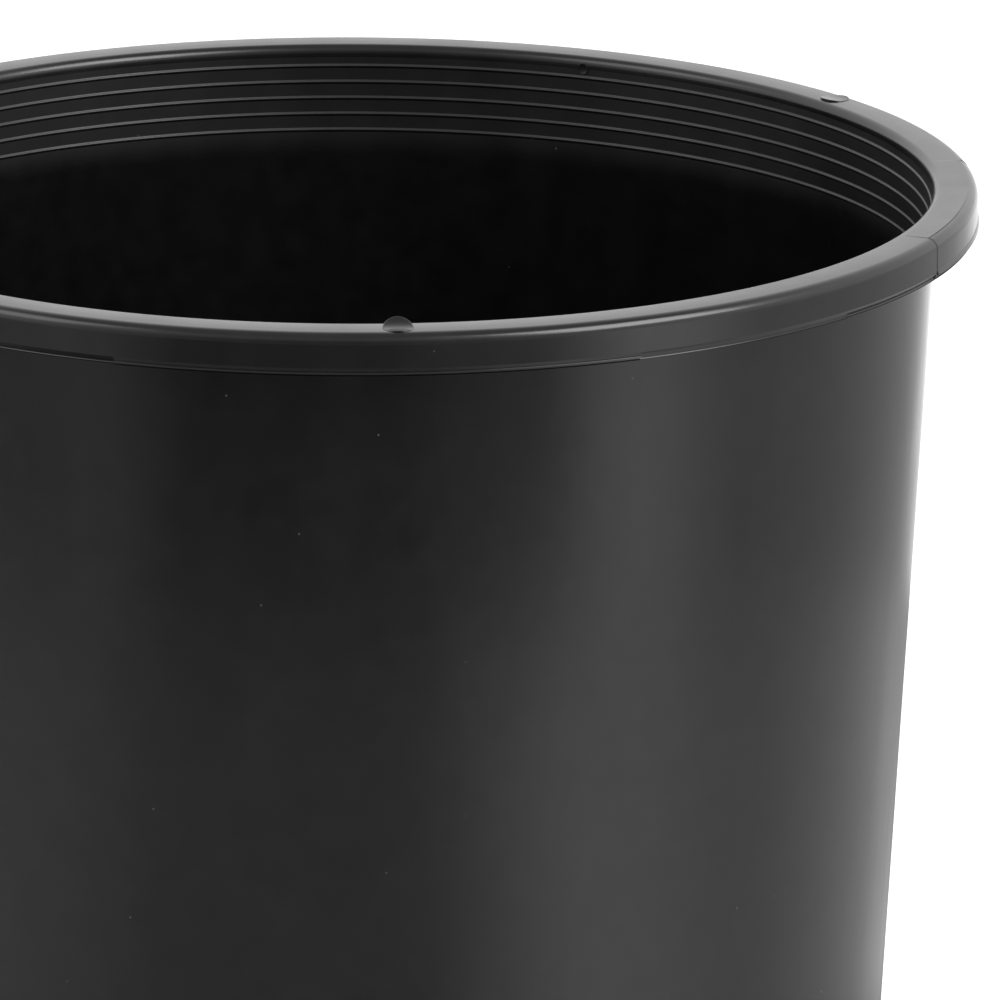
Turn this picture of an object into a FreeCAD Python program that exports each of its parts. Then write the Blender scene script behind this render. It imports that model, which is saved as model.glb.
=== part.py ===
"""Florist bucket: one black injection moulding, written as its functional regions.

Millimetres, +Z up. The origin is the centre of the circle that the bucket rests on.
Azimuths are in degrees, anticlockwise from +X seen from above. The front is -Y.
Every region is a closed solid that meets its neighbours face to face.
"""

import FreeCAD, Part
import os
from math import sin, sqrt, tan

from FreeCAD import Vector

# Overall size
HEIGHT = 260.0
RIM_RADIUS = 131.3

# Tapered wall: both faces lean out by the same slope
WALL_SLOPE = 0.0515
WALL_THICKNESS = 1.2
WALL_OUTER_AT_RIM = 122.8
BAND_HEIGHT = 20.0

# Rim: a flat flange with a skirt that hangs from its outer edge
FLANGE_THICKNESS = 1.5
FLANGE_LEG = 2.4
INNER_EDGE_RADIUS = 1.8
OUTER_EDGE_RADIUS = 2.2
UNDER_EDGE_RADIUS = 0.7
SKIRT_DEPTH = 8.45
SKIRT_SLOPE = 0.01
SKIRT_THICKNESS = 1.3
SKIRT_LIP_HEIGHT = 1.45
SKIRT_LIP_RADIUS = 0.5

# Two stretches of the skirt's lip hang lower than the rest, the first under a V-shaped groove
FRONT_LIP_START = -111.2
FRONT_LIP_SWEEP = 47.2
FRONT_LIP_RADIUS = 0.25
RIGHT_LIP_START = -64.0
RIGHT_LIP_SWEEP = 23.9
LOW_LIP_DROP = 0.15
GROOVE_DEPTH = 0.35
GROOVE_UPPER = 0.85
GROOVE_LOWER = 0.35

# Two slightly proud stretches of the rim, opposite each other
GRIP_SWEEP = 30.9
GRIP_START = {"rim_grip_right": -23.9, "rim_grip_left": 156.1}
GRIP_INNER_RADIUS = 124.0
GRIP_INNER_RISE = 0.05
GRIP_TOP_RISE = 0.12
GRIP_SIDE_RISE = 0.15
GRIP_LIP_RISE = 0.55
GRIP_LIP_HEIGHT = 1.6
GRIP_LIP_RADIUS = 0.75

# Fine stiffening beads round the inside, just below the rim
BEAD_COUNT = 5
BEAD_FIRST_DEPTH = 4.35
BEAD_PITCH = 3.58
BEAD_HEIGHT = 1.0
BEAD_PROUD = 0.3

# Ejector-pin marks on the flange: azimuth, dish radius, dish offset outwards, floor of the dish
MARK_RADIUS = 3.15
MARK_CENTRE_RADIUS = 126.6
MARK_REACH = 4.0
MARKS = {
    "ejector_mark_front": (-85.9, 8.0, 1.6, 0.10),
    "ejector_mark_right": (34.4, 14.0, 0.4, 0.08),
    "ejector_mark_left": (154.4, 14.0, 0.4, 0.08),
}

# Small round mark on the inside, just below the rim
PIP_AZIMUTH = 65.3
PIP_DEPTH = 2.4
PIP_RADIUS = 1.2
PIP_PROUD = 0.3

# Closed end: a domed panel inside a heel, which stands on a foot ring
HEEL_HEIGHT = 9.0
HEEL_OUTER_RADIUS = 2.2
HEEL_INNER_RADIUS = 3.0
FOOT_HEIGHT = 1.6
FOOT_INNER_RADIUS = 102.6
FOOT_WIDTH = 4.4
FOOT_EDGE_RADIUS = 0.6
PANEL_RADIUS = 101.0
PANEL_UNDERSIDE = 3.4
PANEL_THICKNESS = 1.5
PANEL_RISE = 1.6
GATE_RADIUS = 3.0
GATE_DEPTH = 0.8
GATE_EDGE_RADIUS = 0.25

RIM_SPLIT = HEIGHT - FLANGE_LEG
BAND_SPLIT = HEIGHT - FLANGE_LEG - BAND_HEIGHT
LIP_SPLIT = HEIGHT - SKIRT_DEPTH + SKIRT_LIP_HEIGHT
LOW_LIP_BOTTOM = HEIGHT - SKIRT_DEPTH - LOW_LIP_DROP
PANEL_TOP = PANEL_UNDERSIDE + PANEL_THICKNESS
AXIS_BASE = Vector(0, 0, 0)
UP = Vector(0, 0, 1)
ALONG_X = Vector(1, 0, 0)
ALONG_Y = Vector(0, 1, 0)
FULL_TURN = 360.0


def wall_outer(z):
    """Radius of the wall's outside at height z."""
    return WALL_OUTER_AT_RIM - WALL_SLOPE * (HEIGHT - z)


def wall_inner(z):
    """Radius of the wall's inside at height z."""
    return wall_outer(z) - WALL_THICKNESS


def skirt_outer(z):
    """Radius of the skirt's outside at height z."""
    return RIM_RADIUS + SKIRT_SLOPE * (HEIGHT - z)


def skirt_inner(z):
    """Radius of the skirt's inside at height z."""
    return skirt_outer(z) - SKIRT_THICKNESS


def at(r, z):
    """The point of a section at radius r and height z."""
    return Vector(r, 0, z)


def round_corner(before, corner, after, radius):
    """Start, middle and end of the arc of this radius that rounds a corner."""
    back = (before - corner).normalize()
    onward = (after - corner).normalize()
    half_angle = back.getAngle(onward) / 2
    reach = radius / tan(half_angle)
    middle = (back + onward).normalize()
    centre = corner + middle * (radius / sin(half_angle))
    return corner + back * reach, centre - middle * radius, corner + onward * reach


def outline(corners):
    """A closed face in the XZ plane from (r, z) or (r, z, rounding radius) corners."""
    points = [at(corner[0], corner[1]) for corner in corners]
    stretches = []
    for i, corner in enumerate(corners):
        before = points[i - 1]
        after = points[(i + 1) % len(points)]
        if len(corner) == 3:
            stretches.append(round_corner(before, points[i], after, corner[2]))
        else:
            stretches.append((points[i],))
    edges = []
    for i, stretch in enumerate(stretches):
        if len(stretch) == 3:
            edges.append(Part.Arc(*stretch).toShape())
        following = stretches[(i + 1) % len(stretches)]
        edges.append(Part.LineSegment(stretch[-1], following[0]).toShape())
    return Part.Face(Part.Wire(edges))


def turned(face, start=0.0, sweep=FULL_TURN):
    """The solid that a section sweeps about the bucket's axis, from azimuth start."""
    solid = face.revolve(AXIS_BASE, UP, sweep)
    solid.rotate(AXIS_BASE, UP, start)
    return solid


def wall_stretch(low, high):
    """A stretch of the tapered wall between two heights."""
    return turned(outline([
        (wall_inner(low), low),
        (wall_outer(low), low),
        (wall_outer(high), high),
        (wall_inner(high), high),
    ]))


def rim_flange():
    """The flat ring round the mouth, with the legs that turn down into wall and skirt."""
    under = HEIGHT - FLANGE_THICKNESS
    return turned(outline([
        (wall_inner(RIM_SPLIT), RIM_SPLIT),
        (wall_inner(HEIGHT), HEIGHT, INNER_EDGE_RADIUS),
        (skirt_outer(HEIGHT), HEIGHT, OUTER_EDGE_RADIUS),
        (skirt_outer(RIM_SPLIT), RIM_SPLIT),
        (skirt_inner(RIM_SPLIT), RIM_SPLIT),
        (skirt_inner(under), under, UNDER_EDGE_RADIUS),
        (wall_outer(under), under, UNDER_EDGE_RADIUS),
        (wall_outer(RIM_SPLIT), RIM_SPLIT),
    ]))


def rim_skirt():
    """The thin collar that hangs from the flange's outer edge."""
    return turned(outline([
        (skirt_inner(LIP_SPLIT), LIP_SPLIT),
        (skirt_outer(LIP_SPLIT), LIP_SPLIT),
        (skirt_outer(RIM_SPLIT), RIM_SPLIT),
        (skirt_inner(RIM_SPLIT), RIM_SPLIT),
    ]))


def skirt_lip_front():
    """The front stretch of the skirt's lower edge, set off from the skirt by a fine groove."""
    bottom = LOW_LIP_BOTTOM
    groove = LIP_SPLIT - GROOVE_UPPER
    below = groove - GROOVE_LOWER
    return turned(outline([
        (skirt_inner(bottom), bottom, SKIRT_LIP_RADIUS),
        (skirt_outer(bottom), bottom, FRONT_LIP_RADIUS),
        (skirt_outer(below), below),
        (skirt_outer(groove) - GROOVE_DEPTH, groove),
        (skirt_outer(LIP_SPLIT), LIP_SPLIT),
        (skirt_inner(LIP_SPLIT), LIP_SPLIT),
    ]), FRONT_LIP_START, FRONT_LIP_SWEEP)


def plain_lip(bottom, start, sweep):
    """A stretch of the skirt's lower edge, rounded inside and outside."""
    return turned(outline([
        (skirt_inner(bottom), bottom, SKIRT_LIP_RADIUS),
        (skirt_outer(bottom), bottom, SKIRT_LIP_RADIUS),
        (skirt_outer(LIP_SPLIT), LIP_SPLIT),
        (skirt_inner(LIP_SPLIT), LIP_SPLIT),
    ]), start, sweep)


def skirt_lip_right():
    """The stretch beside the front one, which hangs as low but has no groove."""
    return plain_lip(LOW_LIP_BOTTOM, RIGHT_LIP_START, RIGHT_LIP_SWEEP)


def skirt_lip_rear():
    """The rest of the skirt's lower edge."""
    low_sweep = FRONT_LIP_SWEEP + RIGHT_LIP_SWEEP
    return plain_lip(HEIGHT - SKIRT_DEPTH, RIGHT_LIP_START + RIGHT_LIP_SWEEP, FULL_TURN - low_sweep)


def rim_grip(start, behind):
    """A proud stretch of the rim: a skin over flange, skirt and lip, ending in a small lip."""
    top = HEIGHT + GRIP_TOP_RISE
    bottom = HEIGHT - SKIRT_DEPTH
    lip_top = bottom + GRIP_LIP_HEIGHT
    within = SKIRT_THICKNESS / 2
    skin_base = HEIGHT - FLANGE_THICKNESS / 2
    side = GRIP_SIDE_RISE
    skin = turned(outline([
        (GRIP_INNER_RADIUS, skin_base),
        (GRIP_INNER_RADIUS, HEIGHT + GRIP_INNER_RISE),
        (skirt_outer(top) + side, top, OUTER_EDGE_RADIUS),
        (skirt_outer(lip_top) + side, lip_top, GRIP_LIP_RISE),
        (skirt_outer(bottom) + side + GRIP_LIP_RISE, bottom, GRIP_LIP_RADIUS),
        (skirt_outer(bottom) - within, bottom),
        (skirt_outer(skin_base) - within, skin_base),
    ]), start, GRIP_SWEEP)
    return skin.cut(Part.makeCompound(behind))


def inner_bead(z):
    """A bead of circular section round the inside of the wall, centred at height z."""
    half = BEAD_HEIGHT / 2
    foot = at(wall_inner(z - half), z - half)
    head = at(wall_inner(z + half), z + half)
    crest = at(wall_inner(z) - BEAD_PROUD, z)
    arc = Part.Arc(foot, crest, head).toShape()
    back = Part.LineSegment(head, foot).toShape()
    return turned(Part.Face(Part.Wire([arc, back])))


def block_below(top_centre, depth):
    """A block that hangs from a point, wide enough to hold a whole pin mark."""
    half = MARK_RADIUS * 2
    corner = top_centre - Vector(half, half, depth)
    return Part.makeBox(half * 2, half * 2, depth, corner)


def ejector_mark(azimuth, dish_radius, dish_offset, dish_floor, behind):
    """A round raised mark whose dished top climbs towards the bucket's inside."""
    base = Vector(MARK_CENTRE_RADIUS, 0, HEIGHT - FLANGE_THICKNESS / 2)
    disc = Part.makeCylinder(MARK_RADIUS, MARK_REACH, base)
    dish_centre = Vector(MARK_CENTRE_RADIUS + dish_offset, 0, HEIGHT + dish_floor + dish_radius)
    dish_start = dish_centre - Vector(0, MARK_RADIUS * 2, 0)
    dish = Part.makeCylinder(dish_radius, MARK_RADIUS * 4, dish_start, ALONG_Y)
    mark = disc.common(block_below(dish_centre, dish_radius * 2)).cut(dish)
    mark.rotate(AXIS_BASE, UP, azimuth)
    return mark.cut(behind)


def wall_pip(behind):
    """A small round mark on the inside of the wall."""
    z = HEIGHT - PIP_DEPTH
    tip = wall_inner(z) - PIP_PROUD
    pip = Part.makeCylinder(PIP_RADIUS, WALL_THICKNESS, Vector(tip, 0, z), ALONG_X)
    pip.rotate(AXIS_BASE, UP, PIP_AZIMUTH)
    return pip.cut(Part.makeCompound(behind))


def heel():
    """The rounded corner that joins the wall to the panel."""
    return turned(outline([
        (PANEL_RADIUS, PANEL_UNDERSIDE),
        (FOOT_INNER_RADIUS, PANEL_UNDERSIDE),
        (FOOT_INNER_RADIUS, FOOT_HEIGHT),
        (wall_outer(FOOT_HEIGHT), FOOT_HEIGHT, HEEL_OUTER_RADIUS),
        (wall_outer(HEEL_HEIGHT), HEEL_HEIGHT),
        (wall_inner(HEEL_HEIGHT), HEEL_HEIGHT),
        (wall_inner(PANEL_TOP), PANEL_TOP, HEEL_INNER_RADIUS),
        (PANEL_RADIUS, PANEL_TOP),
    ]))


def foot_ring():
    """The ring that the bucket stands on."""
    outer = FOOT_INNER_RADIUS + FOOT_WIDTH
    return turned(outline([
        (FOOT_INNER_RADIUS, 0, FOOT_EDGE_RADIUS),
        (outer, 0, FOOT_EDGE_RADIUS),
        (outer, FOOT_HEIGHT),
        (FOOT_INNER_RADIUS, FOOT_HEIGHT),
    ]))


def dome_height(r):
    """How far the panel has risen at radius r: a shallow spherical dome."""
    sphere = (PANEL_RADIUS**2 + PANEL_RISE**2) / (2 * PANEL_RISE)
    return sqrt(sphere**2 - r**2) - (sphere - PANEL_RISE)


def panel_face(z):
    """One domed face of the panel, as the arc from its centre to its edge."""
    middle = PANEL_RADIUS / 2
    points = [at(r, z + dome_height(r)) for r in (0, middle, PANEL_RADIUS)]
    return Part.Arc(*points).toShape()


def base_panel():
    """The domed floor of the bucket."""
    edges = [
        panel_face(PANEL_UNDERSIDE),
        Part.LineSegment(at(PANEL_RADIUS, PANEL_UNDERSIDE), at(PANEL_RADIUS, PANEL_TOP)).toShape(),
        panel_face(PANEL_TOP),
        Part.LineSegment(
            at(0, PANEL_TOP + PANEL_RISE), at(0, PANEL_UNDERSIDE + PANEL_RISE)
        ).toShape(),
    ]
    return turned(Part.Face(Part.Wire(edges)))


def gate_mark(behind):
    """The stub left under the panel's centre, where the plastic entered the mould."""
    top = PANEL_UNDERSIDE + PANEL_RISE + PANEL_THICKNESS / 2
    bottom = PANEL_UNDERSIDE + PANEL_RISE - GATE_DEPTH
    stub = turned(outline([
        (0, bottom),
        (GATE_RADIUS, bottom, GATE_EDGE_RADIUS),
        (GATE_RADIUS, top),
        (0, top),
    ]))
    return stub.cut(behind)


def build():
    """Every region by its name."""
    parts = {
        "body_wall": wall_stretch(HEEL_HEIGHT, BAND_SPLIT),
        "beaded_band": wall_stretch(BAND_SPLIT, RIM_SPLIT),
        "rim_flange": rim_flange(),
        "rim_skirt": rim_skirt(),
        "skirt_lip_front": skirt_lip_front(),
        "skirt_lip_right": skirt_lip_right(),
        "skirt_lip_rear": skirt_lip_rear(),
        "heel": heel(),
        "foot_ring": foot_ring(),
        "base_panel": base_panel(),
    }
    for i in range(BEAD_COUNT):
        z = HEIGHT - BEAD_FIRST_DEPTH - i * BEAD_PITCH
        parts[f"inner_bead_{i + 1}"] = inner_bead(z)
    rim = [parts["rim_flange"], parts["rim_skirt"], parts["skirt_lip_rear"]]
    for name, start in GRIP_START.items():
        parts[name] = rim_grip(start, rim)
    for name, settings in MARKS.items():
        parts[name] = ejector_mark(*settings, parts["rim_flange"])
    parts["wall_pip"] = wall_pip([parts["rim_flange"], parts["beaded_band"]])
    parts["gate_mark"] = gate_mark(parts["base_panel"])
    return parts


os.makedirs("parts", exist_ok=True)
for name, shape in build().items():
    solids = shape.Solids
    print(name, len(solids), shape.isValid(), round(shape.Volume / 1000, 3), "cm3")
    shape.exportStep(f"parts/{name}.step")
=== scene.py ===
"""Florist bucket: the visual model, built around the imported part. Metres, +Z up, mouth upwards."""

from math import atan2, cos, degrees, hypot, pi, radians, sin, sqrt, tan

import bmesh
import bpy
import numpy as np
from mathutils import Matrix, Vector

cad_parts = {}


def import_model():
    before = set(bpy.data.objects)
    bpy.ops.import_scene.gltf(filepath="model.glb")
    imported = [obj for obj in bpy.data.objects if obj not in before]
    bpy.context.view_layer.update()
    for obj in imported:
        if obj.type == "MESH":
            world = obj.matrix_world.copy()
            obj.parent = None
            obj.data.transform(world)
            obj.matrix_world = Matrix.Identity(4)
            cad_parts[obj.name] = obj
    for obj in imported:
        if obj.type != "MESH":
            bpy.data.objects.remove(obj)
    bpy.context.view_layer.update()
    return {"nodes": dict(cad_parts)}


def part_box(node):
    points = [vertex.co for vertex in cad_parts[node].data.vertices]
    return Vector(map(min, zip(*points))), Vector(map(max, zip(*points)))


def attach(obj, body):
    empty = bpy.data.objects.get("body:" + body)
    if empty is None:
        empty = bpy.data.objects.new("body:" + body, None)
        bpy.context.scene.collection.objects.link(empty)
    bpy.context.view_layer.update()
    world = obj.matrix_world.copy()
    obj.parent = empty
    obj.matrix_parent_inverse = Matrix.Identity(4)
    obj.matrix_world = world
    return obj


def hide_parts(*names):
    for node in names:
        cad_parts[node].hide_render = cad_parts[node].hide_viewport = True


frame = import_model()

MM = 0.001
BODY = "root"

# Shape of the moulding that the node boxes don't tell
WALL_THICKNESS = 1.2 * MM
FLANGE_THICKNESS = 1.5 * MM
INNER_EDGE_RADIUS = 1.8 * MM
OUTER_EDGE_RADIUS = 2.2 * MM
UNDER_EDGE_RADIUS = 0.7 * MM
SKIRT_THICKNESS = 1.3 * MM
LIP_EDGE_RADIUS = 0.35 * MM
FRONT_LIP_RADIUS = 0.25 * MM
GROOVE_DEPTH = 0.35 * MM
GROOVE_UPPER = 0.85 * MM
GROOVE_LOWER = 0.35 * MM
HEEL_OUTER_RADIUS = 2.2 * MM
HEEL_INNER_RADIUS = 3.0 * MM
FOOT_EDGE_RADIUS = 0.6 * MM
GATE_EDGE_RADIUS = 0.25 * MM

# How finely it is meshed
FULL_TURN = 360.0
TURN_STEP = 1.0
ARC_STEPS = 8
WALL_ROW = 6.0 * MM
SHARP_ANGLE = radians(35)
WELD_DISTANCE = 1e-7

# How far a cooled moulding is out of true
OVALITY = 0.16 * MM
OVAL_PHASE = 0.7
LOBE = 0.07 * MM
LOBE_PHASE = -0.4
SINK = 0.025 * MM
SINK_PHASE = 1.1
SINK_TWIST = 14
SINK_ROWS = 19
RIM_OVALITY = 0.3 * MM
RIM_LIFT = 0.12 * MM


# ---------------------------------------------------------------- what the frame says

def polar(node):
    """Radius, azimuth in degrees and height of every vertex of a CAD node."""
    corners = [v.co for v in frame["nodes"][node].data.vertices]
    return np.array([(hypot(c.x, c.y), degrees(atan2(c.y, c.x)), c.z) for c in corners])


def heights(node):
    low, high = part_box(node)
    return low.z, high.z


def reach(node):
    """The largest radius of a CAD node."""
    return polar(node)[:, 0].max()


RIM_SPLIT, RIM_TOP = heights("rim_flange")
LIP_BOTTOM, LIP_SPLIT = heights("skirt_lip_rear")
WALL_BOTTOM, BAND_SPLIT = heights("body_wall")
FOOT_TOP = heights("foot_ring")[1]
WALL_REACH = reach("beaded_band")
FLANGE_REACH = reach("rim_flange")
WALL_SLOPE = (WALL_REACH - reach("body_wall")) / (RIM_SPLIT - BAND_SPLIT)
SKIRT_SLOPE = (reach("rim_skirt") - FLANGE_REACH) / (RIM_SPLIT - LIP_SPLIT)


def wall_outer(z):
    return WALL_REACH - WALL_SLOPE * (RIM_SPLIT - z)


def wall_inner(z):
    return wall_outer(z) - WALL_THICKNESS


def skirt_outer(z):
    return FLANGE_REACH + SKIRT_SLOPE * (RIM_SPLIT - z)


def skirt_inner(z):
    return skirt_outer(z) - SKIRT_THICKNESS


RIM_RADIUS = skirt_outer(RIM_TOP)


# ---------------------------------------------------------------- sections and skins

def round_corner(before, corner, after, radius):
    """Points of the arc that rounds the corner of a section."""
    back = (before - corner).normalized()
    onward = (after - corner).normalized()
    half = back.angle(onward) / 2
    start = corner + back * (radius / tan(half))
    centre = corner + (back + onward).normalized() * (radius / sin(half))
    turn = (pi - 2 * half) * (1 if (start - centre).cross(onward) > 0 else -1)
    arm = start - centre
    points = []
    for i in range(ARC_STEPS + 1):
        points.append(centre + Matrix.Rotation(turn * i / ARC_STEPS, 2) @ arm)
    return points


def path(corners):
    """Points along a section given as (r, z) or (r, z, rounding radius) corners."""
    spots = [Vector(corner[:2]) for corner in corners]
    points = []
    for i, corner in enumerate(corners):
        if len(corner) == 3:
            points += round_corner(spots[i - 1], spots[i], spots[(i + 1) % len(spots)], corner[2])
        else:
            points.append(spots[i])
    return points


def divided(start, end, row):
    """Points from start up to, but not including, end, about a row apart."""
    a, b = Vector(start), Vector(end)
    count = max(1, round((b - a).length / row))
    return [a.lerp(b, i / count) for i in range(count)]


def out_of_true(azimuth, r, z):
    """The radial error of the cooled moulding, nothing at the foot and most at the rim."""
    share = z / RIM_TOP
    oval = OVALITY * cos(2 * azimuth + OVAL_PHASE) + LOBE * cos(3 * azimuth + LOBE_PHASE)
    sinks = SINK * sin(7 * azimuth + SINK_PHASE + SINK_TWIST * share)
    sinks *= sin(pi * share) * sin(SINK_ROWS * share)
    out = max(0.0, r - WALL_REACH) / (RIM_RADIUS - WALL_REACH)
    return share * oval + sinks - out * RIM_OVALITY * cos(2 * azimuth)


def placed(point, azimuth):
    """A section point, turned to its azimuth in radians. The rim's top is higher at the back."""
    r, z = point
    top = min(1.0, max(0.0, (z - RIM_SPLIT) / (RIM_TOP - RIM_SPLIT)))
    lift = RIM_LIFT * (1 + sin(azimuth)) * top
    r = r + out_of_true(azimuth, r, z) if r > 0 else r
    return Vector((r * cos(azimuth), r * sin(azimuth), z + lift))


def settled(point):
    """A point of the true shape, moved to where the cooled moulding has it."""
    return placed((hypot(point.x, point.y), point.z), atan2(point.y, point.x))


def make_piece(node, vertices, faces, material):
    """A smooth-shaded mesh that stands for a CAD node."""
    name = node + "_moulded"
    mesh = bpy.data.meshes.new(name)
    mesh.from_pydata(vertices, [], faces)
    piece = bpy.data.objects.new(name, mesh)
    bpy.context.scene.collection.objects.link(piece)
    weld(mesh)
    mesh.shade_smooth()
    mesh.set_sharp_from_angle(angle=SHARP_ANGLE)
    mesh.materials.append(material)
    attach(piece, BODY)
    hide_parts(node)


def weld(mesh):
    """Joins the points that meet on the axis and turns all faces outwards."""
    work = bmesh.new()
    work.from_mesh(mesh)
    bmesh.ops.remove_doubles(work, verts=work.verts, dist=WELD_DISTANCE)
    bmesh.ops.recalc_face_normals(work, faces=work.faces)
    work.to_mesh(mesh)
    work.free()


def quads(here, there, count):
    """Faces between two closed rings of points, whose first points are here and there."""
    after = [(j + 1) % count for j in range(count)]
    return [(here + j, here + k, there + k, there + j) for j, k in enumerate(after)]


def skin(node, rings, material, full):
    """A closed skin over rings of points. A full turn joins the last ring to the first."""
    count = len(rings[0])
    vertices = [point for ring in rings for point in ring]
    faces = []
    for i in range(len(rings) if full else len(rings) - 1):
        faces += quads(i * count, (i + 1) % len(rings) * count, count)
    if not full:
        faces.append(tuple(range(count)))
        faces.append(tuple(range(len(vertices) - count, len(vertices))))
    make_piece(node, vertices, faces, material)


def lathe(node, section, material, start=0.0, sweep=FULL_TURN):
    """A piece swept about the bucket's axis from a closed section."""
    full = sweep == FULL_TURN
    count = round(sweep / TURN_STEP)
    rings = []
    for i in range(count if full else count + 1):
        azimuth = radians(start + sweep * i / count)
        rings.append([placed(point, azimuth) for point in section])
    skin(node, rings, material, full)


# ---------------------------------------------------------------- materials

BLACK = (0.0032, 0.0031, 0.0033)
PALE_SHARE = 2.0
DUST = (0.30, 0.29, 0.27, 1.0)
IOR = 1.49

# Scales of the patterns, per metre
FLOW_SCALE = 14.0
STREAK_SCALE = 55.0
STREAK_STRETCH = 0.12
RARITY_SCALE = 95.0
MOTTLE_SCALE = 160.0
DUST_SCALE = 210.0
GRAIN_SCALE = 2600.0
MOTTLE_DEPTH = 0.02 * MM
GRAIN_DEPTH = 0.012 * MM

# Depths under the rim between which the mouth's rougher band fades out
MOUTH_FADE_START = 19.5 * MM
MOUTH_FADE_END = 24.5 * MM
MOUTH_EDGE = 0.2 * MM


def add(tree, kind, inputs=None, **settings):
    """A shader node with its settings, its inputs linked or given a value."""
    made = tree.nodes.new("ShaderNode" + kind)
    for name, value in settings.items():
        setattr(made, name, value)
    for name, value in (inputs or {}).items():
        if isinstance(value, bpy.types.NodeSocket):
            tree.links.new(value, made.inputs[name])
        else:
            made.inputs[name].default_value = value
    return made


def noise(tree, place, scale, detail=2.0, roughness=0.5):
    return add(tree, "TexNoise", {
        "Vector": place, "Scale": scale, "Detail": detail, "Roughness": roughness
    }).outputs["Fac"]


def spread(tree, value, low, high, to_low, to_high):
    """Maps a value from one range to another, without overshooting."""
    return add(tree, "MapRange", {
        "Value": value, "From Min": low, "From Max": high, "To Min": to_low, "To Max": to_high
    }).outputs["Result"]


def from_axis(tree, x, y):
    """Distance from the bucket's axis."""
    flat = add(tree, "CombineXYZ", {"X": x, "Y": y, "Z": 0.0}).outputs["Vector"]
    return add(tree, "VectorMath", {0: flat}, operation="LENGTH").outputs["Value"]


def in_the_mouth(tree, place):
    """1 on the inside of the wall down to just under the last bead, 0 elsewhere."""
    axes = add(tree, "SeparateXYZ", {"Vector": place})
    x, y, z = (axes.outputs[name] for name in "XYZ")
    foot = (wall_inner(0) + wall_outer(0)) / 2
    lean = (wall_inner(RIM_TOP) - wall_inner(0)) / RIM_TOP
    middle = add(tree, "Math", {0: z, 1: lean, 2: foot}, operation="MULTIPLY_ADD").outputs[0]
    radius = from_axis(tree, x, y)
    inward = add(tree, "Math", {0: middle, 1: radius}, operation="SUBTRACT").outputs[0]
    inside = spread(tree, inward, -MOUTH_EDGE, MOUTH_EDGE, 0.0, 1.0)
    high = spread(tree, z, RIM_TOP - MOUTH_FADE_END, RIM_TOP - MOUTH_FADE_START, 0.0, 1.0)
    return add(tree, "Math", {0: inside, 1: high}, operation="MULTIPLY").outputs[0]


def plastic(name, roughness, grain, mouth_roughness=0.0):
    """Black moulded polypropylene: faint flow mottling, a fine grain, and a few specks of dust.

    The band inside the mouth is rougher than the rest by mouth_roughness.
    """
    material = bpy.data.materials.new(name)
    material.use_nodes = True
    tree = material.node_tree
    tree.nodes.clear()
    place = add(tree, "TexCoord").outputs["Object"]
    flow = noise(tree, place, FLOW_SCALE, 3.0)
    mottle = noise(tree, place, MOTTLE_SCALE, 4.0, 0.6)
    fine = noise(tree, place, GRAIN_SCALE, 2.0)

    dust = add(tree, "TexVoronoi", {"Vector": place, "Scale": DUST_SCALE})
    speck = spread(tree, dust.outputs["Distance"], 0.035, 0.055, 1.0, 0.0)
    rare = spread(tree, noise(tree, place, RARITY_SCALE, 0.0), 0.62, 0.68, 0.0, 0.2)
    dusty = add(tree, "Math", {0: speck, 1: rare}, operation="MULTIPLY").outputs[0]
    pale = tuple(PALE_SHARE * c for c in BLACK) + (1.0,)
    colour = add(tree, "Mix", {
        "Factor": spread(tree, mottle, 0.35, 0.65, 0.0, 0.6), "A": BLACK + (1.0,), "B": pale
    }, data_type="RGBA")
    dusted = add(tree, "Mix", {
        "Factor": dusty, "A": colour.outputs["Result"], "B": DUST
    }, data_type="RGBA")

    streaks = add(tree, "Mapping", {"Vector": place, "Scale": (1.0, 1.0, STREAK_STRETCH)})
    streak = noise(tree, streaks.outputs["Vector"], STREAK_SCALE, 5.0, 0.65)
    rough_flow = spread(tree, flow, 0.35, 0.65, roughness - 0.03, roughness + 0.03)
    rough_streak = spread(tree, streak, 0.35, 0.70, -0.02, 0.04)
    even = add(tree, "Math", {0: rough_flow, 1: rough_streak}, operation="ADD").outputs[0]
    mouth = in_the_mouth(tree, place)
    rough = add(tree, "Math", {0: mouth, 1: mouth_roughness, 2: even}, operation="MULTIPLY_ADD")

    ripple = add(tree, "Bump", {"Height": mottle, "Strength": 0.35, "Distance": MOTTLE_DEPTH})
    bump = add(tree, "Bump", {
        "Height": fine, "Strength": grain, "Distance": GRAIN_DEPTH,
        "Normal": ripple.outputs["Normal"]
    })
    shader = add(tree, "BsdfPrincipled", {
        "Base Color": dusted.outputs["Result"],
        "Roughness": rough.outputs[0],
        "IOR": IOR,
        "Normal": bump.outputs["Normal"],
    })
    output = add(tree, "OutputMaterial")
    tree.links.new(shader.outputs["BSDF"], output.inputs["Surface"])
    return material


# ---------------------------------------------------------------- pieces

def wall_section(low, high):
    """A stretch of the tapered wall, in short rows."""
    corners = [
        (wall_inner(low), low),
        (wall_outer(low), low),
        (wall_outer(high), high),
        (wall_inner(high), high),
    ]
    points = []
    for i, corner in enumerate(corners):
        points += divided(corner, corners[(i + 1) % 4], WALL_ROW)
    return points


def rim_flange(material):
    under = RIM_TOP - FLANGE_THICKNESS
    lathe("rim_flange", path([
        (wall_inner(RIM_SPLIT), RIM_SPLIT),
        (wall_inner(RIM_TOP), RIM_TOP, INNER_EDGE_RADIUS),
        (skirt_outer(RIM_TOP), RIM_TOP, OUTER_EDGE_RADIUS),
        (skirt_outer(RIM_SPLIT), RIM_SPLIT),
        (skirt_inner(RIM_SPLIT), RIM_SPLIT),
        (skirt_inner(under), under, UNDER_EDGE_RADIUS),
        (wall_outer(under), under, UNDER_EDGE_RADIUS),
        (wall_outer(RIM_SPLIT), RIM_SPLIT),
    ]), material)


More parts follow.
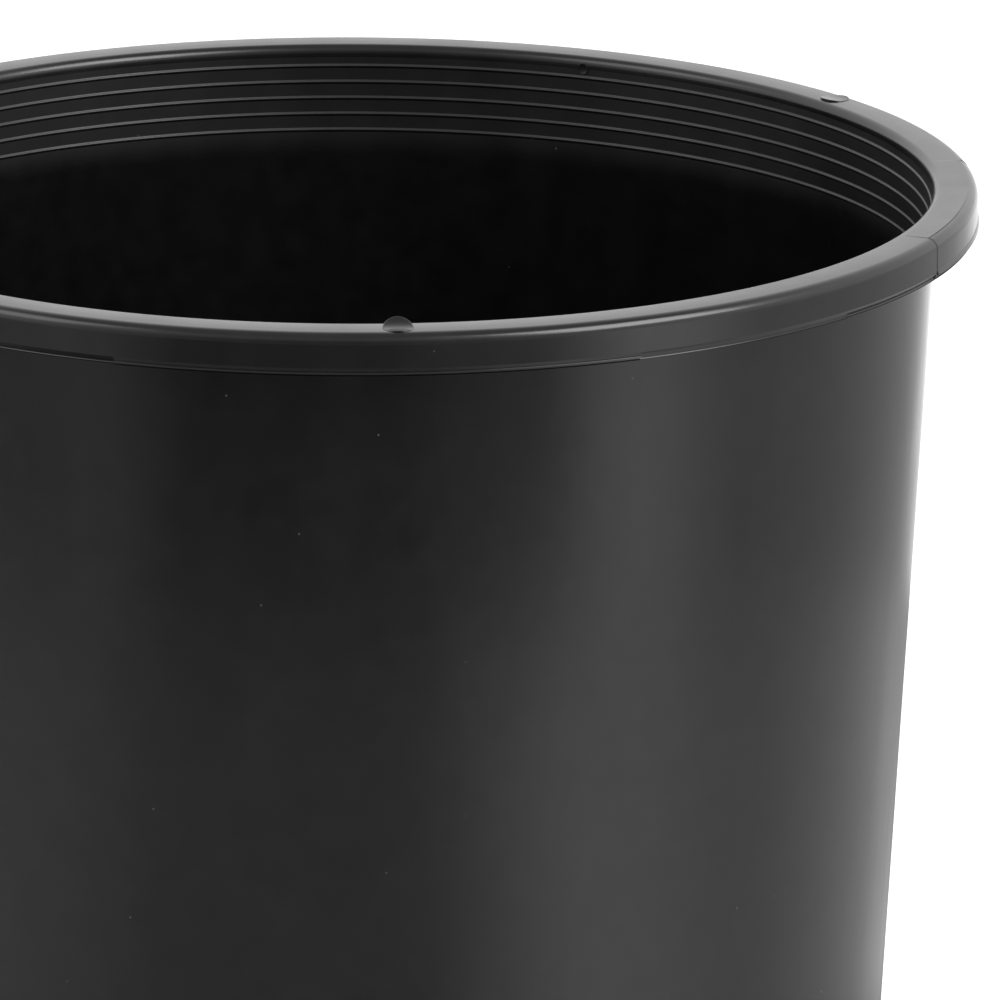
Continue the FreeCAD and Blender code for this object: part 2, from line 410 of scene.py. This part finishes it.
def rim_skirt(material):
    lathe("rim_skirt", path([
        (skirt_inner(LIP_SPLIT), LIP_SPLIT),
        (skirt_outer(LIP_SPLIT), LIP_SPLIT),
        (skirt_outer(RIM_SPLIT), RIM_SPLIT),
        (skirt_inner(RIM_SPLIT), RIM_SPLIT),
    ]), material)


def turn_of(node):
    """Start azimuth and sweep, in degrees, of a node that covers part of a turn."""
    azimuths = np.unique(np.round(polar(node)[:, 1], 3))
    gaps = np.diff(np.append(azimuths, azimuths[0] + FULL_TURN))
    widest = int(gaps.argmax())
    start = azimuths[(widest + 1) % len(azimuths)]
    return float(start), float(FULL_TURN - gaps[widest])


def skirt_lip_front(material):
    """The front stretch of the skirt's lower edge, under its fine groove."""
    bottom = heights("skirt_lip_front")[0]
    groove = LIP_SPLIT - GROOVE_UPPER
    below = groove - GROOVE_LOWER
    lathe("skirt_lip_front", path([
        (skirt_inner(bottom), bottom, LIP_EDGE_RADIUS),
        (skirt_outer(bottom), bottom, FRONT_LIP_RADIUS),
        (skirt_outer(below), below),
        (skirt_outer(groove) - GROOVE_DEPTH, groove),
        (skirt_outer(LIP_SPLIT), LIP_SPLIT),
        (skirt_inner(LIP_SPLIT), LIP_SPLIT),
    ]), material, *turn_of("skirt_lip_front"))


def plain_lip(node, material):
    """A stretch of the skirt's rounded lower edge."""
    bottom = heights(node)[0]
    lathe(node, path([
        (skirt_inner(bottom), bottom, LIP_EDGE_RADIUS),
        (skirt_outer(bottom), bottom, LIP_EDGE_RADIUS),
        (skirt_outer(LIP_SPLIT), LIP_SPLIT),
        (skirt_inner(LIP_SPLIT), LIP_SPLIT),
    ]), material, *turn_of(node))


GRIP_INNER_RADIUS = 124.0 * MM
GRIP_TOP_RISE = 0.12 * MM
GRIP_SIDE_RISE = 0.15 * MM
GRIP_LIP_RISE = 0.55 * MM
GRIP_LIP_HEIGHT = 1.6 * MM
GRIP_LIP_RADIUS = 0.75 * MM
GRIP_ROOT = 0.1 * MM
GRIP_RAMP = 0.5 * MM
GRIP_RAMP_STEPS = 6


def grip_outline(share):
    """The outside of a grip in section, from the flange's inside down to the lip's foot."""
    top = RIM_TOP + GRIP_TOP_RISE * share
    side = GRIP_SIDE_RISE * share
    lip = GRIP_LIP_RISE * share
    lip_top = LIP_BOTTOM + GRIP_LIP_HEIGHT
    corners = [
        (GRIP_INNER_RADIUS, RIM_TOP),
        (skirt_outer(top) + side, top, OUTER_EDGE_RADIUS),
        (skirt_outer(lip_top) + side, lip_top, GRIP_LIP_RISE),
        (skirt_outer(LIP_BOTTOM) + side + lip, LIP_BOTTOM, GRIP_LIP_RADIUS),
        (skirt_outer(LIP_BOTTOM) - SKIRT_THICKNESS / 2, LIP_BOTTOM),
    ]
    return path(corners)


def rim_grip(node, material):
    """A proud stretch of rim. Its ends climb from the rim's surface in a quarter circle."""
    start, sweep = turn_of(node)
    ramp = degrees(GRIP_RAMP / RIM_RADIUS)
    stations = []
    for i in range(GRIP_RAMP_STEPS + 1):
        t = i / GRIP_RAMP_STEPS
        stations.append((start + ramp * t, sqrt(1 - (1 - t) ** 2)))
    middle = round(sweep / TURN_STEP)
    inner = sweep - 2 * ramp
    stations += [(start + ramp + inner * i / middle, 1.0) for i in range(1, middle)]
    for i in range(GRIP_RAMP_STEPS + 1):
        t = 1 - i / GRIP_RAMP_STEPS
        stations.append((start + sweep - ramp * t, sqrt(1 - (1 - t) ** 2)))
    root = -GRIP_ROOT / GRIP_SIDE_RISE
    under = list(reversed(grip_outline(root)))
    rings = []
    for azimuth, share in stations:
        section = grip_outline(share) + under
        rings.append([placed(point, radians(azimuth)) for point in section])
    skin(node, rings, material, False)


BEAD_PROUD = 0.3 * MM
BEAD_ROOT = 0.1 * MM
BEAD_STEPS = 12


def inner_bead(node, material):
    """A bead that swells out of the wall's inside and dies back into it."""
    low, high = heights(node)
    section = []
    for i in range(BEAD_STEPS + 1):
        t = i / BEAD_STEPS
        z = low + (high - low) * t
        swell = BEAD_PROUD * sin(pi * t) ** 2
        section.append((wall_inner(z) - swell, z))
    section.append((wall_inner(high) + BEAD_ROOT, high))
    section.append((wall_inner(low) + BEAD_ROOT, low))
    lathe(node, section, material)


BUTTON_RINGS = (0.2, 0.4, 0.55, 0.7, 0.8, 0.88, 0.94, 0.97, 0.99, 1.0)
BUTTON_SPOKES = 64
BUTTON_EDGE = 0.06


def button(node, place, radius, top, bottom, material):
    """A round button. top and bottom give heights over its disc in the frame of place."""
    def ring(share, height, drop=0.0):
        points = []
        for i in range(BUTTON_SPOKES):
            angle = 2 * pi * i / BUTTON_SPOKES
            u, v = radius * share * cos(angle), radius * share * sin(angle)
            points.append(settled(place @ Vector((u, v, height(u, v) - drop))))
        return points

    rings = []
    for share in BUTTON_RINGS:
        over = max(0.0, share - 1 + BUTTON_EDGE) / BUTTON_EDGE
        drop = radius * BUTTON_EDGE * (1 - sqrt(max(0.0, 1 - over**2)))
        rings.append(ring(share, top, drop))
    rings.append(ring(1.0, bottom))
    rings.append(ring(0.5, bottom))
    vertices = [point for points in rings for point in points]
    faces = []
    for i in range(len(rings) - 1):
        faces += quads(i * BUTTON_SPOKES, (i + 1) * BUTTON_SPOKES, BUTTON_SPOKES)
    for i, height in ((0, top), (len(rings) - 1, bottom)):
        vertices.append(settled(place @ Vector((0, 0, height(0, 0)))))
        hub = len(vertices) - 1
        for j in range(BUTTON_SPOKES):
            k = (j + 1) % BUTTON_SPOKES
            faces.append((i * BUTTON_SPOKES + j, i * BUTTON_SPOKES + k, hub))
    make_piece(node, vertices, faces, material)


MARK_FLOOR = 0.10 * MM
MARK_OUTER_CREST = 0.30 * MM
MARK_LOWEST = 0.35
MARK_ROOT = 0.08 * MM
MARK_OVERHANG = 0.98


def flange_surface(r):
    """Height of the rim's outside at radius r, on the flat and over the outer edge."""
    edge = RIM_RADIUS - OUTER_EDGE_RADIUS
    if r <= edge:
        return RIM_TOP
    over = min(r - edge, OUTER_EDGE_RADIUS * MARK_OVERHANG)
    return RIM_TOP - OUTER_EDGE_RADIUS + sqrt(OUTER_EDGE_RADIUS**2 - over**2)


def ejector_mark(node, material):
    """A pin mark: a round disc, dished, with its inner side pushed up."""
    low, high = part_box(node)
    centre = (low + high) / 2
    azimuth = atan2(centre.y, centre.x)
    middle = hypot(centre.x, centre.y)
    radius = reach(node) - middle
    crest = high.z - RIM_TOP
    place = Matrix.Rotation(azimuth, 4, "Z") @ Matrix.Translation((middle, 0, 0))
    lowest = MARK_LOWEST * radius

    def top(u, v):
        climb = crest if u < lowest else MARK_OUTER_CREST
        span = radius + lowest if u < lowest else radius - lowest
        dish = MARK_FLOOR + (climb - MARK_FLOOR) * ((u - lowest) / span) ** 2
        return RIM_TOP + dish

    def bottom(u, v):
        return flange_surface(hypot(middle + u, v)) - MARK_ROOT

    button(node, place, radius, top, bottom, material)


PIP_RADIUS = 1.2 * MM
PIP_CREST = 0.3 * MM
PIP_FLOOR = 0.12 * MM
PIP_ROOT = 0.15 * MM


def wall_pip(material):
    """A small dished mark on the inside of the wall."""
    low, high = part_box("wall_pip")
    centre = (low + high) / 2
    azimuth = atan2(centre.y, centre.x)
    turn = Matrix.Rotation(azimuth, 4, "Z")
    lean = Matrix.Rotation(-pi / 2, 4, "Y")
    place = turn @ Matrix.Translation((wall_inner(centre.z), 0, centre.z)) @ lean

    def top(u, v):
        return PIP_FLOOR + (PIP_CREST - PIP_FLOOR) * (hypot(u, v) / PIP_RADIUS) ** 2

    def bottom(u, v):
        return -PIP_ROOT

    button("wall_pip", place, PIP_RADIUS, top, bottom, material)


FOOT_INNER_RADIUS = 102.6 * MM
PANEL_UNDERSIDE = 3.4 * MM
PANEL_THICKNESS = 1.5 * MM
PANEL_RISE = 1.6 * MM
PANEL_ROWS = 20
PANEL_TOP = PANEL_UNDERSIDE + PANEL_THICKNESS
PANEL_RADIUS = reach("base_panel")


def heel(material):
    lathe("heel", path([
        (PANEL_RADIUS, PANEL_UNDERSIDE),
        (FOOT_INNER_RADIUS, PANEL_UNDERSIDE),
        (FOOT_INNER_RADIUS, FOOT_TOP),
        (wall_outer(FOOT_TOP), FOOT_TOP, HEEL_OUTER_RADIUS),
        (wall_outer(WALL_BOTTOM), WALL_BOTTOM),
        (wall_inner(WALL_BOTTOM), WALL_BOTTOM),
        (wall_inner(PANEL_TOP), PANEL_TOP, HEEL_INNER_RADIUS),
        (PANEL_RADIUS, PANEL_TOP),
    ]), material)


def foot_ring(material):
    outer = reach("foot_ring")
    lathe("foot_ring", path([
        (FOOT_INNER_RADIUS, 0, FOOT_EDGE_RADIUS),
        (outer, 0, FOOT_EDGE_RADIUS),
        (outer, FOOT_TOP),
        (FOOT_INNER_RADIUS, FOOT_TOP),
    ]), material)


def dome(r):
    """How far the panel has risen at radius r."""
    sphere = (PANEL_RADIUS**2 + PANEL_RISE**2) / (2 * PANEL_RISE)
    return sqrt(sphere**2 - r**2) - (sphere - PANEL_RISE)


def base_panel(material):
    radii = [PANEL_RADIUS * i / PANEL_ROWS for i in range(PANEL_ROWS + 1)]
    under = [(r, PANEL_UNDERSIDE + dome(r)) for r in radii]
    over = [(r, PANEL_TOP + dome(r)) for r in reversed(radii)]
    lathe("base_panel", under + over, material)


def gate_mark(material):
    low, high = heights("gate_mark")
    radius = reach("gate_mark")
    lathe("gate_mark", path([
        (0, low),
        (radius, low, GATE_EDGE_RADIUS),
        (radius, high),
        (0, high),
    ]), material)


satin = plastic("black_plastic_wall", roughness=0.20, grain=0.25, mouth_roughness=0.21)
rim_satin = plastic("black_plastic_rim", roughness=0.25, grain=0.30)
bead_satin = plastic("black_plastic_bead", roughness=0.42, grain=0.30)

lathe("body_wall", wall_section(WALL_BOTTOM, BAND_SPLIT), satin)
lathe("beaded_band", wall_section(BAND_SPLIT, RIM_SPLIT), satin)
rim_flange(rim_satin)
rim_skirt(rim_satin)
skirt_lip_front(rim_satin)
plain_lip("skirt_lip_right", rim_satin)
plain_lip("skirt_lip_rear", rim_satin)
for grip in ("rim_grip_right", "rim_grip_left"):
    rim_grip(grip, rim_satin)
for bead in sorted(name for name in frame["nodes"] if name.startswith("inner_bead_")):
    inner_bead(bead, bead_satin)
for mark in sorted(name for name in frame["nodes"] if name.startswith("ejector_mark_")):
    ejector_mark(mark, rim_satin)
wall_pip(satin)
heel(satin)
foot_ring(satin)
base_panel(satin)
gate_mark(satin)


# ---------------------------------------------------------------- stage, light and camera

FLOOR_HALF = 40.0
FLOOR_WHITE = (0.90, 0.90, 0.90, 1.0)
FLOOR_ROUGHNESS = 0.9
FLOOR_EMISSION = 0.25


def sheet(name, half, material):
    """A square on the floor that belongs to the stage."""
    mesh = bpy.data.meshes.new(name)
    corners = [(-half, -half, 0), (half, -half, 0), (half, half, 0), (-half, half, 0)]
    mesh.from_pydata(corners, [], [(0, 1, 2, 3)])
    mesh.materials.append(material)
    made = bpy.data.objects.new(name, mesh)
    bpy.context.scene.collection.objects.link(made)
    return made


def floor():
    """A large pale floor."""
    material = bpy.data.materials.new("floor_paper")
    material.use_nodes = True
    shader = material.node_tree.nodes["Principled BSDF"]
    shader.inputs["Base Color"].default_value = FLOOR_WHITE
    shader.inputs["Roughness"].default_value = FLOOR_ROUGHNESS
    shader.inputs["Emission Color"].default_value = (1.0, 1.0, 1.0, 1.0)
    shader.inputs["Emission Strength"].default_value = FLOOR_EMISSION
    sheet("floor", FLOOR_HALF, material)


def eased(tree, value, low, high, to_high):
    """A smooth step from 0 to to_high."""
    return add(tree, "MapRange", {
        "Value": value, "From Min": low, "From Max": high, "To Min": 0.0, "To Max": to_high
    }, interpolation_type="SMOOTHSTEP").outputs["Result"]


def total(tree, *values):
    """The sum of values and sockets."""
    so_far = values[0]
    for value in values[1:]:
        so_far = add(tree, "Math", {0: so_far, 1: value}, operation="ADD").outputs[0]
    return so_far


GLOW_HALF = 6.0
GLOW_HEIGHT = 0.5 * MM

# The glow of the painted reflection close to the bucket and further out: its level straight ahead,
# then steps between two bearings, each with the change that it brings. Bearings are in degrees
# from the front, positive to the right.
GLOW_NEAR = 0.46
GLOW_NEAR_STEPS = [
    (-30, -58, 0.20),
    (8, 44, 0.92),
    (46, 84, -0.55),
    (100, 127, 0.02),
    (130, 165, -0.45),
    (-62, -120, -0.16),
]
GLOW_FAR = 0.10
GLOW_FAR_STEPS = [
    (-28, -48, 0.34),
    (-50, -62, -0.09),
    (5, 20, 0.17),
    (30, 54, 1.08),
    (54, 78, -0.75),
    (138, 165, 0.90),
    (-120, -165, 1.15),
]
# Distances from the bucket's axis, in metres
GLOW_NEAR_END, GLOW_FAR_START = 0.585, 0.64
GAIN_START, GAIN_END = 0.8, 1.1
GAIN = 0.4
# Painted shadow of the bucket: close to the axis the sheet's glow is dimmed to a tenth, and it comes
# back to full by OPEN_START.
PAINTED_SHADOW_END, OPEN_START = 0.20, 0.33
PAINTED_SHADOW = 0.10


def floor_painted_reflection():
    """A glowing sheet just over the floor that only reflections see: a painted reflection, bright to
    the right and dim straight ahead.
    """
    material = bpy.data.materials.new("floor_painted_reflection")
    material.use_nodes = True
    tree = material.node_tree
    tree.nodes.clear()
    place = add(tree, "SeparateXYZ", {"Vector": add(tree, "TexCoord").outputs["Object"]})
    x, y = place.outputs["X"], place.outputs["Y"]
    ahead = add(tree, "Math", {0: y, 1: -1.0}, operation="MULTIPLY").outputs[0]
    turn = add(tree, "Math", {0: x, 1: ahead}, operation="ARCTAN2").outputs[0]
    bearing = add(tree, "Math", {0: turn, 1: 180 / pi}, operation="MULTIPLY").outputs[0]
    distance = from_axis(tree, x, y)

    near = total(tree, GLOW_NEAR, *(eased(tree, bearing, *step) for step in GLOW_NEAR_STEPS))
    far = total(tree, GLOW_FAR, *(eased(tree, bearing, *step) for step in GLOW_FAR_STEPS))
    away = eased(tree, distance, GLOW_NEAR_END, GLOW_FAR_START, 1.0)
    mixed = add(tree, "Mix", {"Factor": away, "A": near, "B": far}).outputs["Result"]
    gain = total(tree, 1.0, eased(tree, distance, GAIN_START, GAIN_END, GAIN))
    bright = add(tree, "Math", {0: mixed, 1: gain}, operation="MULTIPLY").outputs[0]
    # Painted shadow: the glow is dimmed close to the bucket.
    painted_shadow_fade = total(tree, PAINTED_SHADOW, eased(tree, distance, PAINTED_SHADOW_END, OPEN_START, 1.0 - PAINTED_SHADOW))
    strength = add(tree, "Math", {0: bright, 1: painted_shadow_fade}, operation="MULTIPLY").outputs[0]
    # Painted reflection: the sheet glows though it is no lamp, and its strength is laid out by
    # bearing and distance.
    shader = add(tree, "Emission", {"Strength": strength})
    output = add(tree, "OutputMaterial")
    tree.links.new(shader.outputs["Emission"], output.inputs["Surface"])
    made = sheet("floor_painted_reflection", GLOW_HALF, material)
    made.location = (0, 0, GLOW_HEIGHT)
    made.visible_camera = False
    made.visible_diffuse = False
    made.visible_transmission = False
    made.visible_volume_scatter = False
    made.visible_shadow = False


# Radiance of the studio walls behind the bucket and behind the camera, and how the light falls
# off overhead. The walls' dark side faces this azimuth, in degrees.
DARK_SIDE = -97
WALL_BRIGHT, WALL_DARK = 1.32, 0.2
CEILING_SHARE = 0.4
SEEN_WHITE = 1.2


def world():
    """White studio walls, darker towards the camera and overhead. The camera itself sees white."""
    scene = bpy.context.scene
    scene.world = bpy.data.worlds.new("studio")
    scene.world.use_nodes = True
    tree = scene.world.node_tree
    tree.nodes.clear()
    way = add(tree, "TexCoord").outputs["Generated"]
    front = Vector((cos(radians(DARK_SIDE)), sin(radians(DARK_SIDE)), 0))
    along = add(tree, "VectorMath", {0: way, 1: front}, operation="DOT_PRODUCT").outputs["Value"]
    height = add(tree, "SeparateXYZ", {"Vector": way}).outputs["Z"]
    wall = spread(tree, along, 0.50, 0.97, WALL_BRIGHT, WALL_DARK)
    ceiling = spread(tree, height, 0.60, 0.88, 1.0, CEILING_SHARE)
    both = add(tree, "Math", {0: wall, 1: ceiling}, operation="MULTIPLY").outputs[0]
    seen = add(tree, "LightPath").outputs["Is Camera Ray"]
    strength = add(tree, "Mix", {"Factor": seen, "A": both, "B": SEEN_WHITE}).outputs["Result"]
    shader = add(tree, "Background", {"Color": (1, 1, 1, 1), "Strength": strength})
    output = add(tree, "OutputWorld")
    tree.links.new(shader.outputs["Background"], output.inputs["Surface"])


def softbox(name, azimuth, elevation, distance, width, height, radiance):
    """A softbox that points at the bucket's mouth and that the camera doesn't see."""
    target = Vector((0, 0, RIM_TOP))
    back = Vector((
        cos(radians(azimuth)) * cos(radians(elevation)),
        sin(radians(azimuth)) * cos(radians(elevation)),
        sin(radians(elevation)),
    ))
    light = bpy.data.lights.new(name, "AREA")
    light.shape = "RECTANGLE"
    light.size = width
    light.size_y = height
    light.energy = radiance * pi * width * height
    made = bpy.data.objects.new(name, light)
    made.location = target + back * distance
    made.rotation_mode = "QUATERNION"
    made.rotation_quaternion = back.to_track_quat("Z", "Y")
    made.visible_camera = False
    bpy.context.scene.collection.objects.link(made)


CAMERA_BACK = 2.1294
CAMERA_UP = 0.5204
CAMERA_YAW = radians(0.842)
CAMERA_PITCH = radians(15.505)
CAMERA_ROLL = radians(-0.340)
CAMERA_LENS = 375.55


def camera():
    """The reference view: a long lens, 2.1 m in front of the bucket and half a metre above it."""
    look = Vector((
        sin(CAMERA_YAW) * cos(CAMERA_PITCH), cos(CAMERA_YAW) * cos(CAMERA_PITCH), -sin(CAMERA_PITCH)
    ))
    level = Vector((cos(CAMERA_YAW), -sin(CAMERA_YAW), 0))
    down = look.cross(level)
    right = level * cos(CAMERA_ROLL) + down * sin(CAMERA_ROLL)
    down = look.cross(right)
    data = bpy.data.cameras.new("camera")
    data.lens = CAMERA_LENS
    data.sensor_width = 36.0
    data.clip_start, data.clip_end = 0.1, 200.0
    made = bpy.data.objects.new("camera", data)
    axes = Matrix((right, -down, -look)).transposed().to_4x4()
    spot = Vector((0, -CAMERA_BACK, RIM_TOP + CAMERA_UP))
    made.matrix_world = Matrix.Translation(spot) @ axes
    bpy.context.scene.collection.objects.link(made)
    bpy.context.scene.camera = made


floor()
floor_painted_reflection()
world()
softbox("key_right", azimuth=-31, elevation=42, distance=1.6, width=1.0, height=0.9, radiance=7.5)
softbox("fill_left", azimuth=-165, elevation=42, distance=1.6, width=0.9, height=0.8, radiance=2.2)
camera()
bpy.context.scene.view_settings.view_transform = "Standard"
